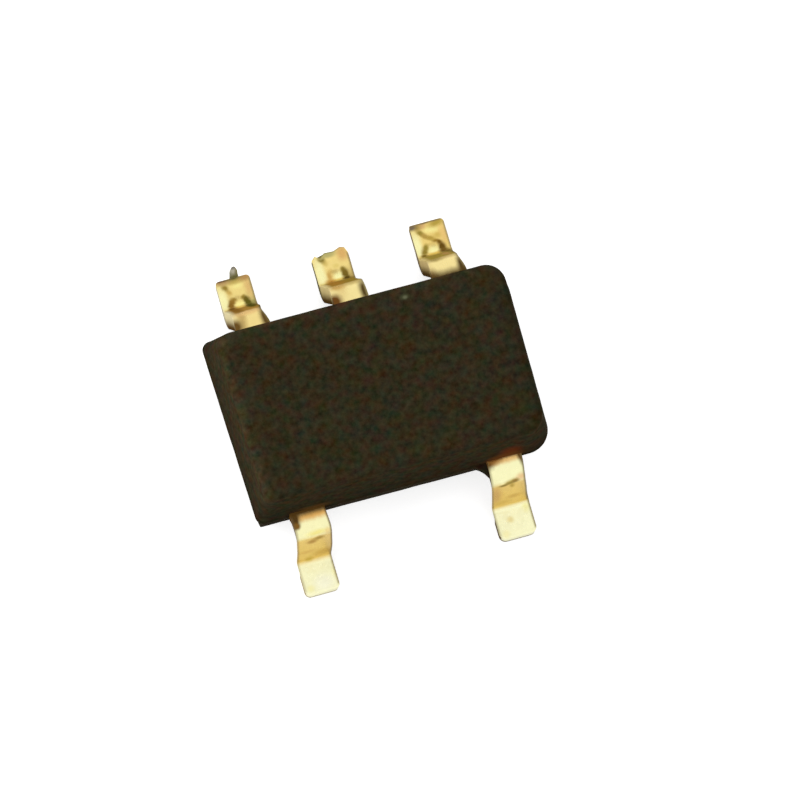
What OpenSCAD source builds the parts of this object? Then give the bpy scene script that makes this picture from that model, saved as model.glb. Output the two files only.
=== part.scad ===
// Five-lead single-gate logic circuit in a small moulded gull-wing package.
// The origin is the centre of the seating plane. X runs along the body, +Y points to the
// three-lead side and +Z is up. All lengths are millimetres.

/* [Moulded body] */
// Length of the body at the parting line
body_l = 1.97; // [1.92:0.01:2.2]
// Width of the body at the parting line
body_w = 1.22; // [1.2:0.01:1.35]
// Height of the body above the parting line
upper_h = 0.45; // [0.43:0.01:0.55]
// Height of the body below the parting line
lower_h = 0.45; // [0.3:0.01:0.46]
// Draft of the walls in degrees
draft = 7; // [2:0.5:10]
// Least radius of the two corners at the -X end
corner_r_left = 0.025; // [0.025:0.005:0.12]
// Least radius of the two corners at the +X end
corner_r_right = 0.11; // [0.025:0.005:0.12]
// Radius round the top and bottom faces
edge_r = 0.02; // [0.01:0.005:0.025]

/* [Leads] */
// Distance between neighbouring leads
lead_pitch = 0.65; // [0.6:0.01:0.68]
// Width of a lead
lead_w = 0.23; // [0.15:0.005:0.28]
// Thickness of the lead strip
lead_t = 0.115; // [0.08:0.005:0.14]
// Height of the strip's middle above the board
lead_z = 0.5; // [0.47:0.01:0.53]
// Distance between the tips on the two sides
lead_span = 2.1; // [2.04:0.01:2.2]
// Straight length between the wall and the first bend
exit_l = 0.005; // [0.005:0.005:0.03]
// Inner radius of both bends
bend_r = 0.04; // [0.03:0.005:0.06]
// Lean of the leg from the vertical in degrees
leg_lean = 14.5; // [6:0.5:18]
// Corner radius of a foot
toe_r = 0.03; // [0.02:0.005:0.05]
// Extra length of the foot of lead 1
trim_1 = 0.025; // [-0.02:0.005:0.03]
// Extra length of the foot of lead 2
trim_2 = -0.005; // [-0.02:0.005:0.03]
// Extra length of the foot of lead 3
trim_3 = 0; // [-0.02:0.005:0.03]
// Extra length of the foot of lead 4
trim_4 = 0.015; // [-0.02:0.005:0.03]
// Extra length of the foot of lead 5
trim_5 = 0.01; // [-0.02:0.005:0.03]

/* [Marks, burr and flash] */
// Distance from the end of the lower bend to the middle of a heel dent
dent_out = 0; // [-0.01:0.005:0.04]
// Radius of the ball that pressed the dent
dent_ball_r = 0.065; // [0.05:0.005:0.08]
// Depth of the dent
dent_depth = 0.014; // [0.005:0.001:0.02]
// Length of the burr on lead 3
burr_l = 0.08; // [0.03:0.005:0.12]
// Width of the burr at its root
burr_w = 0.055; // [0.03:0.005:0.08]
// Thickness of the burr
burr_t = 0.025; // [0.015:0.005:0.05]
// Shift of the burr from the middle of its lead, along X
burr_shift = 0.02; // [-0.04:0.005:0.04]
// Reach of the flash along the side of lead 5
flash_l = 0.055; // [0.02:0.005:0.07]
// Width of the flash along the wall
flash_w = 0.05; // [0.02:0.005:0.1]
// Thickness of the flash
flash_t = 0.06; // [0.02:0.005:0.07]

/* [Inside the body] */
// Gap between the paddle and the heads of the corner leads
frame_gap = 0.1; // [0.06:0.005:0.14]
// Reach of a head from the middle of its lead towards the paddle
head_in = 0.19; // [0.12:0.005:0.22]
// Reach of a head from the middle of its lead towards the end wall
head_out = 0.15; // [0.12:0.005:0.18]
// Length of a head across the body
head_l = 0.2; // [0.12:0.005:0.24]
// Distance from the wall to a head
head_back = 0.14; // [0.1:0.005:0.18]
// Corner radius of the heads and the paddle
head_r = 0.025; // [0.01:0.005:0.05]
// Width of the paddle across the body
paddle_w = 0.58; // [0.5:0.01:0.6]
// Length of the silicon die
die_l = 0.44; // [0.36:0.01:0.5]
// Width of the silicon die
die_w = 0.4; // [0.34:0.01:0.44]
// Thickness of the silicon die
die_t = 0.15; // [0.1:0.01:0.18]
// Thickness of the adhesive under the die
glue_t = 0.015; // [0.01:0.005:0.03]
// Width of the adhesive that shows round the die
glue_rim = 0.02; // [0.01:0.005:0.04]

/* [Bond wires] */
// Diameter of a bond wire
wire_d = 0.022; // [0.018:0.001:0.03]
// Diameter of the ball on the die
ball_d = 0.05; // [0.04:0.005:0.06]
// Height of the ball
ball_h = 0.012; // [0.008:0.001:0.02]
// Straight rise above the ball
wire_rise = 0.03; // [0.015:0.005:0.04]
// Radius of the loop's bend at the middle of the wire
wire_bend_r = 0.035; // [0.02:0.005:0.045]
// Diameter of the stitch on the lead
stitch_d = 0.056; // [0.045:0.005:0.07]
// Thickness of the stitch
stitch_t = 0.01; // [0.008:0.001:0.015]
// Distance from the die's edge to the middle of a ball
pad_in = 0.06; // [0.05:0.005:0.08]

/* [Hidden] */
$fn = 48;

// How far a wall leans in between the parting line and its rim
wall_run = max(upper_h, lower_h) * tan(draft);
// Corner radii at the parting line
parting_r_left = corner_r_left + wall_run;
parting_r_right = corner_r_right + wall_run;
// Heights of the strip
strip_top = lead_z + lead_t / 2;
strip_bottom = lead_z - lead_t / 2;
// Outer radius of a bend, and how far apart the centres of the two bends lie across the strip
bend_outer_r = bend_r + lead_t;
bend_span = 2 * bend_r + lead_t;
// Centre of the upper bend
bend_1_y = body_w / 2 + exit_l;
bend_1_z = strip_bottom - bend_r;
// Straight length of the leg, which brings the foot down to the board
leg_l = (bend_1_z + bend_span * sin(leg_lean) - bend_outer_r) / cos(leg_lean);
// Centre of the lower bend
bend_2_y = bend_1_y + bend_span * cos(leg_lean) + leg_l * sin(leg_lean);
bend_2_z = bend_outer_r;
// Where a lead ends before its own trim
tip_y = lead_span / 2;
// Heads and paddle
head_y = body_w / 2 - head_back - head_l / 2;
paddle_l = 2 * (lead_pitch - head_in - frame_gap);
// Heights of the stack on the paddle
die_z = strip_top + glue_t;
die_top = die_z + die_t;
// Places of the balls on the die
pad_x = die_l / 2 - pad_in;
pad_y = die_w / 2 - pad_in;
// Where a corner lead's stitch lies along X
stitch_x = lead_pitch - (head_in - head_out) / 2;
// Torn end of lead 2, as places across the lead in half widths and lengths past the tip
torn_end = [
    [1, -0.035], [0.85, 0.008], [0.6, 0.017], [0.2, 0], [-0.35, 0.003],
    [-0.65, -0.025], [-0.9, 0], [-1, -0.02]
];

// Puts the parts of a corner lead, drawn at +X +Y, into another corner
module in_corner(side_x, side_y) {
    mirror([side_x < 0 ? 1 : 0, 0, 0])
        mirror([0, side_y < 0 ? 1 : 0, 0])
            children();
}

// Extrudes an outline drawn as along Y and Z to both sides of the YZ plane
module across_x(from, to) {
    translate([from, 0, 0])
        rotate([90, 0, 90])
            linear_extrude(to - from)
                children();
}

// Rectangle with rounded corners, given by its middle
module soft_rect(size, r) {
    square([size.x - 2 * r, size.y], center = true);
    square([size.x, size.y - 2 * r], center = true);
    for (sx = [-1, 1], sy = [-1, 1])
        translate([sx * (size.x / 2 - r), sy * (size.y / 2 - r)])
            circle(r);
}

// Upright section of a wall from a corner's centre outwards, with the draft and the rounded rim
module wall_section(r, h) {
    rim_x = r - (edge_r + (h - edge_r) * sin(draft)) / cos(draft);
    polygon([
        [0, 0],
        [r, 0],
        [rim_x + edge_r * cos(draft), h - edge_r + edge_r * sin(draft)],
        [rim_x, h],
        [0, h]
    ]);
    intersection() {
        translate([rim_x, h - edge_r])
            circle(edge_r);
        square([r, h]);
    }
}

// One corner of a body half: the wall section turned through a quarter
module body_corner(r, h, x, y, turn) {
    translate([x, y, 0])
        rotate([0, 0, turn])
            rotate_extrude(angle = 90)
                wall_section(r, h);
}

// Long block of a body half between the corner centres of its two long walls
module body_long(h) {
    x_left = parting_r_left - body_l / 2;
    x_right = body_l / 2 - parting_r_right;
    for (side = [0, 1])
        mirror([0, side, 0])
            across_x(x_left, x_right) {
                square([body_w / 2 - parting_r_left, h]);
                translate([body_w / 2 - parting_r_left, 0])
                    wall_section(parting_r_left, h);
            }
}

// Block of a body half between the corner centres of one end wall, from the middle outwards
module body_end(r, h) {
    x = body_l / 2 - r;
    y = body_w / 2 - r;
    translate([0, y, 0])
        rotate([90, 0, 0])
            linear_extrude(2 * y) {
                square([x, h]);
                translate([x, 0])
                    wall_section(r, h);
            }
}

// Half of the body, standing on the parting plane
module body_half(h) {
    body_long(h);
    body_end(parting_r_right, h);
    mirror([1, 0, 0])
        body_end(parting_r_left, h);
    for (side = [0, 1])
        mirror([0, side, 0]) {
            body_corner(parting_r_right, h, body_l / 2 - parting_r_right, body_w / 2 - parting_r_right, 0);
            body_corner(parting_r_left, h, parting_r_left - body_l / 2, body_w / 2 - parting_r_left, 90);
        }
}

// The body as one block, before anything inside it
module body_block() {
    translate([0, 0, lead_z]) {
        body_half(upper_h);
        mirror([0, 0, 1])
            body_half(lower_h);
    }
}

// Moulding compound that leaked out in the corner between the wall and the side of lead 5
module flash() {
    translate([lead_pitch, -body_w / 2, lead_z - flash_t / 2])
        linear_extrude(flash_t)
            polygon([
                [-lead_w / 2 - flash_w, flash_w],
                [-lead_w / 2 - flash_w, 0],
                [-lead_w / 2, -flash_l],
                [0, -flash_l],
                [0, flash_w]
            ]);
}

// Sector of a ring from one angle to another, for a bend of the strip
module bend_section(from, to) {
    reach = 2 * bend_outer_r;
    difference() {
        circle(bend_outer_r);
        circle(bend_r);
        rotate(to)
            translate([-reach, 0])
                square([2 * reach, reach]);
        rotate(from)
            translate([-reach, -reach])
                square([2 * reach, reach]);
    }
}

// Side view of the strip from its inner end to its tip
module strip_section(inner_y, end_y) {
    translate([inner_y, strip_bottom])
        square([bend_1_y - inner_y, lead_t]);
    translate([bend_1_y, bend_1_z])
        bend_section(leg_lean, 90);
    translate([bend_1_y, bend_1_z])
        rotate(leg_lean)
            translate([bend_r, -leg_l])
                square([lead_t, leg_l]);
    translate([bend_2_y, bend_2_z])
        bend_section(180 + leg_lean, 270);
    translate([bend_2_y, 0])
        square([end_y - bend_2_y, lead_t]);
}

// Plan of a plain foot end, from the middle of the body outwards
module toe_plan(end_y) {
    translate([-lead_w / 2, 0])
        square([lead_w, end_y - toe_r]);
    translate([toe_r - lead_w / 2, 0])
        square([lead_w - 2 * toe_r, end_y]);
    for (side = [-1, 1])
        translate([side * (lead_w / 2 - toe_r), end_y - toe_r])
            circle(toe_r);
}

// Plan of the torn foot end
module torn_plan(end_y) {
    polygon(concat(
        [[-lead_w / 2, 0], [lead_w / 2, 0]],
        [for (p = torn_end) [p.x * lead_w / 2, end_y + p.y]]
    ));
}

// Ball-shaped dent that the forming tool left in the heel of a foot
module heel_dent() {
    translate([0, bend_2_y + dent_out, lead_t + dent_ball_r - dent_depth])
        sphere(dent_ball_r);
}

// Corner lead at +X +Y: the strip bent down outside, with a wide head inside the body
module corner_lead(trim, dented = false) {
    end_y = tip_y + trim;
    head_l_x = head_in + head_out;
    difference() {
        intersection() {
            across_x(lead_pitch - head_in, lead_pitch + head_out)
                strip_section(head_y - head_l / 2, end_y);
            linear_extrude(2 * lead_z) {
                translate([stitch_x, head_y])
                    soft_rect([head_l_x, head_l], head_r);
                intersection() {
                    translate([lead_pitch, 0])
                        toe_plan(end_y);
                    translate([lead_pitch - lead_w / 2, head_y])
                        square([lead_w, end_y]);
                }
            }
        }
        if (dented)
            translate([lead_pitch, 0, 0])
                heel_dent();
    }
}

// Pointed burr left standing on a cut end
module burr(end_y) {
    arc_r = (pow(burr_w / 2, 2) + pow(burr_l, 2)) / burr_w;
    translate([0, end_y, (lead_t - burr_t) / 2])
        linear_extrude(burr_t)
            intersection() {
                translate([burr_w / 2 - arc_r, 0])
                    circle(arc_r);
                translate([arc_r - burr_w / 2, 0])
                    circle(arc_r);
                translate([-burr_w, 0])
                    square([2 * burr_w, 2 * burr_l]);
            }
}

// Bond wire in the XZ plane: ball on the die, rise, bend, slope and stitch on the lead
module wire_in_plane(length) {
    bend_z = die_top + ball_h + wire_rise;
    run = length - wire_bend_r;
    drop = bend_z - strip_top - stitch_t / 2;
    reach = norm([run, drop]);
    slope = atan2(drop, run) + asin(wire_bend_r / reach);
    slope_l = sqrt(reach * reach - wire_bend_r * wire_bend_r);
    translate([0, 0, die_top])
        cylinder(h = ball_h, d = ball_d);
    translate([0, 0, die_top])
        cylinder(h = ball_h + wire_rise, d = wire_d);
    translate([wire_bend_r, 0, bend_z])
        rotate([90, 0, 0])
            rotate_extrude(angle = 90 + slope, start = 90 - slope)
                translate([wire_bend_r, 0])
                    circle(d = wire_d);
    difference() {
        translate([wire_bend_r * (1 + sin(slope)), 0, bend_z + wire_bend_r * cos(slope)])
            rotate([0, 90 + slope, 0])
                cylinder(h = slope_l, d = wire_d);
        translate([0, -length, strip_top - wire_d])
            cube([2 * length, 2 * length, wire_d]);
    }
    translate([length, 0, strip_top])
        cylinder(h = stitch_t, d = stitch_d);
}

// Bond wire between two places in plan
module bond_wire(from, to) {
    step = to - from;
    color("goldenrod")
        translate([from.x, from.y, 0])
            rotate([0, 0, atan2(step.y, step.x)])
                wire_in_plane(norm(step));
}

// Bond wire to one of the corner leads
module corner_wire(side_x, side_y) {
    bond_wire([side_x * pad_x, side_y * pad_y], [side_x * stitch_x, side_y * head_y]);
}

module lead_1() {
    color("gold")
        corner_lead(trim_1, dented = true);
}

// The middle lead and the paddle that carries the die are one stamping
module lead_2() {
    end_y = tip_y + trim_2;
    color("gold")
        difference() {
            intersection() {
                across_x(-paddle_l / 2, paddle_l / 2)
                    strip_section(-paddle_w / 2, end_y + lead_w);
                linear_extrude(2 * lead_z) {
                    soft_rect([paddle_l, paddle_w], head_r);
                    torn_plan(end_y);
                }
            }
            heel_dent();
        }
}

module lead_3() {
    color("gold") {
        in_corner(-1, 1)
            corner_lead(trim_3, dented = true);
        translate([burr_shift - lead_pitch, 0, 0])
            burr(tip_y + trim_3);
    }
}

module lead_4() {
    color("gold")
        in_corner(-1, -1)
            corner_lead(trim_4);
}

module lead_5() {
    color("gold")
        in_corner(1, -1)
            corner_lead(trim_5);
}

module die_attach() {
    color("lightgray")
        translate([0, 0, strip_top])
            linear_extrude(glue_t)
                soft_rect([die_l + 2 * glue_rim, die_w + 2 * glue_rim], glue_rim);
}

module die() {
    color("slategray")
        translate([-die_l / 2, -die_w / 2, die_z])
            cube([die_l, die_w, die_t]);
}

module bond_wire_1() {
    corner_wire(1, 1);
}

module bond_wire_2() {
    bond_wire([0, pad_y], [0, head_y]);
}

module bond_wire_3() {
    corner_wire(-1, 1);
}

module bond_wire_4() {
    corner_wire(-1, -1);
}

module bond_wire_5() {
    corner_wire(1, -1);
}

// Everything that the moulding compound flowed round
module moulded_in() {
    lead_1();
    lead_2();
    lead_3();
    lead_4();
    lead_5();
    die_attach();
    die();
    bond_wire_1();
    bond_wire_2();
    bond_wire_3();
    bond_wire_4();
    bond_wire_5();
}

module mould_body() {
    color("#302a1b")
        difference() {
            union() {
                body_block();
                flash();
            }
            moulded_in();
        }
}

mould_body();
lead_1();
lead_2();
lead_3();
lead_4();
lead_5();
die_attach();
die();
bond_wire_1();
bond_wire_2();
bond_wire_3();
bond_wire_4();
bond_wire_5();
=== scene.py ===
"""Looks of a five-lead logic gate in a small moulded package: finishes, leads, light and camera."""

import math
from collections import namedtuple

import bmesh
import bpy
from mathutils import Matrix, Vector, noise


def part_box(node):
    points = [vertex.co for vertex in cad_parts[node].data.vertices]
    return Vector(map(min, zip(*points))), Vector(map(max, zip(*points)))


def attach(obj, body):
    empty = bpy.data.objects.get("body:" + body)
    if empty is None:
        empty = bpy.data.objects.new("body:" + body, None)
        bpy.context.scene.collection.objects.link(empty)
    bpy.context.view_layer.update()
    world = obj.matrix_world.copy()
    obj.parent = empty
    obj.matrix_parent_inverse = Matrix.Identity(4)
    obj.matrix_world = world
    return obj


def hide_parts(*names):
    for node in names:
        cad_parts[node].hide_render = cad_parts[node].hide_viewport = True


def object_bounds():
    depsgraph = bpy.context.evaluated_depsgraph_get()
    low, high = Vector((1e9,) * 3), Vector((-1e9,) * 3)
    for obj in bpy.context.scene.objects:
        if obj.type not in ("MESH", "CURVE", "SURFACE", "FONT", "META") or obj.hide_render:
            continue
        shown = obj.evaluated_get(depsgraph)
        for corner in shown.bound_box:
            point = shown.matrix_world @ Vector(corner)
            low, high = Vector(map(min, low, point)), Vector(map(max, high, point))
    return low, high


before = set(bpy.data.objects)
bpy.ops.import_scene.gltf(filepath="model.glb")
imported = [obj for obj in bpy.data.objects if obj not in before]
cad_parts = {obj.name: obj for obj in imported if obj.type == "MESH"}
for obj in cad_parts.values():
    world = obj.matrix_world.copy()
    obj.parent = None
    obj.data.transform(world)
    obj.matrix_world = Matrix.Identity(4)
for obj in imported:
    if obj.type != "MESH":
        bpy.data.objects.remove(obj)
cad_low, cad_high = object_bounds()

MM = 0.001

# Camera: where it stands round the package, and how the picture is framed
CAMERA_AZIMUTH = math.radians(-31.82)
CAMERA_ELEVATION = math.radians(78.42)
CAMERA_ROLL = math.radians(15.92)
CAMERA_DISTANCE = 78.74 * MM
PICTURE_SIDE = 800
PIXELS_PER_MM = 157.31
PACKAGE_MIDDLE_PIXEL = (378.18, 395.28)

# Light: how bright the surroundings are as a lamp and as they are seen, the floor's own glow, and the lamps
WORLD_LIGHT = 0.52
WORLD_SEEN = 1.0
FLOOR_SIDE = 400 * MM
FLOOR_GLOW = 0.7
FLOOR_GLOW_MIRRORED = 0.35
LAMP_DISTANCE = 30 * MM
Lamp = namedtuple("Lamp", "direction size radiance")
LAMPS = {
    "overhead": Lamp((0.1, 0.17, 0.98), 24 * MM, 1.15),
    "left": Lamp((-0.93, 0.1, 0.35), 20 * MM, 3.6),
}

# Moulded body: the box of its solid, halved at the parting line; its draft, and the radii of its top and
# bottom edges
BODY_LOW, BODY_HIGH = (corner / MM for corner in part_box("mould_body"))
HALF_LENGTH = BODY_HIGH.x
HALF_WIDTH = BODY_HIGH.y
HALF_HEIGHT = (BODY_HIGH.z - BODY_LOW.z) / 2
PARTING_HEIGHT = BODY_LOW.z + HALF_HEIGHT
DRAFT = math.radians(7)
TOP_EDGE = 0.04
BOTTOM_EDGE = 0.02
PARTING_RIDGE = 0.002
RIDGE_HEIGHT = 0.003
RIDGE_FOOT_HEIGHT = 0.008
RIDGE_FOOT_INSET = 0.001
WALL_WAVE = 0.0014
WALL_WAVE_FINENESS = 9
WALL_WAVE_SEED = 1
ARC_STEPS = 12
SIDE_STEPS = 60
CROWN_STEPS = 8
WALL_STEP = 0.04
FLAT_RINGS = (0.004, 0.012)
SHARP_ANGLE = math.radians(50)

# One corner of the body as the photograph shows it: its radius at the top face, at the parting line and at
# the bottom face, and how far it lies off a true rectangle. Each is kept by its side along x and along y.
Corner = namedtuple("Corner", "top middle low off_x off_y")
CORNERS = {
    (1, 1): Corner(0.125, 0.180, 0.200, 0.011, -0.006),
    (-1, 1): Corner(0.110, 0.060, 0.065, -0.015, 0.007),
    (-1, -1): Corner(0.080, 0.050, 0.003, 0.013, 0.006),
    (1, -1): Corner(0.140, 0.155, 0.400, -0.009, -0.014),
}

# Thin web of moulding compound left in the corner between the wall and lead 5: the circle that its free edge
# follows from the wall to the lead, the box that holds it, and its outline's inset at each of its levels
FLASH_CENTRE = Vector((0.368, -0.782))
FLASH_RADIUS = 0.184
FLASH_START = math.radians(61.76)
FLASH_END = math.radians(25.73)
FLASH_STEPS = 6
FLASH_LEFT = 0.440
FLASH_RIGHT = 0.560
FLASH_FRONT = -0.702
FLASH_BACK = -0.590
FLASH_LEVELS = [(0.440, 0.006), (0.448, 0.0), (0.512, 0.0), (0.522, 0.008)]

# Strip of the leads, as in the solids
PITCH = 0.65
WALL_Y = HALF_WIDTH
STRIP_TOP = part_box("lead_4")[1].z / MM
LEAD_WIDTH = 0.23
LEAD_THICKNESS = 0.115
BEND_RADIUS = 0.04
LEG_LEAN = math.radians(14.5)
EXIT_LENGTH = 0.005
HEAD_RADIUS = 0.025
HEAD_LENGTH = 0.2
DENT_RADIUS = 0.062
DENT_DEPTH = 0.012
BURR_LENGTH = 0.08
BURR_WIDTH = 0.058
BURR_THICKNESS = 0.03
BURR_SHIFT = 0.016
BURR_LEAN = 0.015
BURR_SINK = 0.015
BURR_BLUNTNESS = 2.6
BURR_END_SHARE = 0.02
BURR_THINNING = 0.3
BURR_CREASE = 0.09
CREASES_ROUND = 2
CREASES_ALONG = 50

# Torn end of the middle lead: how far it reaches past the tip, by the place across in half widths, and the
# length of the strip that is drawn out with it
TORN_REACH = 0.017
TORN_LENGTH = 0.05
TORN_OUTLINE = [
    (-1.0, -0.02), (-0.9, 0.0), (-0.65, -0.025), (-0.35, 0.003),
    (0.2, 0.0), (0.6, TORN_REACH), (0.85, 0.008), (1.0, -0.035),
]

# How far a lead's solid reaches past its tip, for each kind of end
BEYOND_TIP = {"cut": 0.0, "torn": TORN_REACH, "burr": BURR_LENGTH}

# What follows from those sizes
STRIP_MIDDLE = STRIP_TOP - LEAD_THICKNESS / 2
MIDDLE_RADIUS = BEND_RADIUS + LEAD_THICKNESS / 2
OUTER_RADIUS = BEND_RADIUS + LEAD_THICKNESS
UPPER_BEND = Vector((WALL_Y + EXIT_LENGTH, STRIP_TOP - OUTER_RADIUS))
BEND_TURN = math.pi / 2 - LEG_LEAN
LEG_DROP = UPPER_BEND.y + 2 * MIDDLE_RADIUS * math.sin(LEG_LEAN) - OUTER_RADIUS
LEG_LENGTH = LEG_DROP / math.cos(LEG_LEAN)
LOWER_BEND = Vector((
    UPPER_BEND.x + 2 * MIDDLE_RADIUS * math.cos(LEG_LEAN) + LEG_LENGTH * math.sin(LEG_LEAN),
    OUTER_RADIUS,
))
BEND_START = EXIT_LENGTH
BEND_END = BEND_START + MIDDLE_RADIUS * BEND_TURN
LEG_END = BEND_END + LEG_LENGTH
HEEL = LEG_END + MIDDLE_RADIUS * BEND_TURN

# Where along a strip its edges are set: at the wall, over the shoulder, on the leg and on the foot. The
# narrowing of its underside has places of its own, and ends under the foot.
STATIONS = (0.0, 0.10, 0.30, 0.50)
UNDER_STATIONS = (0.0, 0.10, 0.26, 0.50, 0.62)
UNDER_FOOT = 0.004

# Rolled and rounded edges of a strip, the waves in its top face, and the fineness of its mesh
ROLL = 0.012
ROLL_INSIDE = 0.004
ROLL_DROP = 0.45
BOTTOM_CORNER = 0.006
TIP_ROUND = 0.01
TIP_ROUND_BELOW = 0.5
TOP_WAVE = 0.0012
TOP_WAVE_FINENESS = 14
TOP_SKIN = 0.007
ROW_STEP = 0.005
TOP_COLUMNS = 40
BOTTOM_COLUMNS = 20
SIDE_COLUMNS = 5
ROLL_STEPS = 5
CORNER_STEPS = 8
TOE_STEPS = 20
BURR_SIDES = 20
BURR_STEPS = 24

# Where the tones of a strip change. Along it: at the wall, where the foot starts, before and past the ends
# of the leg, and back from the tip. In from its outline where positive, and down its sides where negative.
NEAR_WALL = (0.02, 0.10)
FOOT_START = (0.42, 0.54)
LEG_ONSET = 0.026
LEG_FADE = 0.06
RIM_END = (0.035, 0.012)
TIP_FACE = (0.024, 0.012)
RIM_WIDTH = (0.002, 0.020)
SIDE_TOP = (-0.012, -0.003)
SIDE_LOW = (-0.100, -0.030)
TIP_FACE_LOW = (-0.100, -0.055)

# How strong the painted dark rim along the right edge is, painted shade where the edge turns from the
# light, and over which width the left rim's strength gives way to it
RIGHT_RIM = 0.9
RIM_CHANGE = (-0.05, 0.05)

# From where to where, in half sizes, a stain or painted glow and a mark fade, and how far and how
# finely the marks' edges are pushed to and fro
STAIN_AND_GLOW_FADE = (0.2, 1.4)
MARK_FADE = (0.2, 1.8)
MARK_PUSH = (0.012, 0.010, 0.0)
MARK_PUSH_FINENESS = 26.0


def tint(red, green, blue):
    """A colour written as it shows, in steps of 255"""
    shares = [c / 255 for c in (red, green, blue)]
    return (*(c / 12.92 if c < 0.04 else ((c + 0.055) / 1.055) ** 2.4 for c in shares), 1)


# Painted highlight in the middle of a far lead's dented heel
HEEL_HIGHLIGHT = tint(253, 245, 172)
# Gold of the near leads' feet, painted pale as a reflection of bright light
CREAM = tint(254, 251, 204)
# Painted highlight along the left edge of a far lead's foot, where light from the left catches it
LEFT_EDGE_HIGHLIGHT = tint(252, 245, 180)
YELLOW = tint(244, 220, 138)

# One patch of a strip, of tarnish or of painted shade, highlight or reflection: its middle across and
# along, half sizes, colour, strength and turn in degrees
Mark = namedtuple("Mark", "across along half_width half_length colour strength turn", defaults=(1.0, 0))

# The tone of a leg, a painted reflection (tan where it mirrors its foot, olive where it turns from the
# light): where it starts and ends, what it is and how dull
Leg = namedtuple("Leg", "start end tone dull")

# The dark at a lead's root, partly compound bled onto it and partly painted shade and a painted
# reflection of the dark wall: how far it reaches and its tone
Root = namedtuple("Root", "reach tone")

# One lead. Its form: its place, its left and right edge over the shoulder, leg and foot, its two toe
# corners, how much shorter it is than its solid, how much narrower its leg is behind, whether its heel is
# dented, and whether its end is cut, torn or has a burr. Its tones: those of the shoulder and foot, the leg,
# the root, the sides, the line round its foot and the rims on the leg and the foot, how strong its left rim
# is, and its marks. Much of this is painted light: the near leads' pale shoulders and feet are a painted
# reflection of bright light, the leg tone a painted reflection, the sides painted light on the far leads and
# painted shade on the near leads, and the line and rims painted dark edges of shade and dark reflection.
Lead = namedtuple(
    "Lead",
    "x side left right toe trim back dented end shoulder foot leg root sides line rims left_rim marks",
)

# Many marks are painted light: dark arcs round each far heel and dark patches at the roots are painted shade
# and reflection, and bright patches are painted highlights; the rest are tarnish and creases
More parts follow.
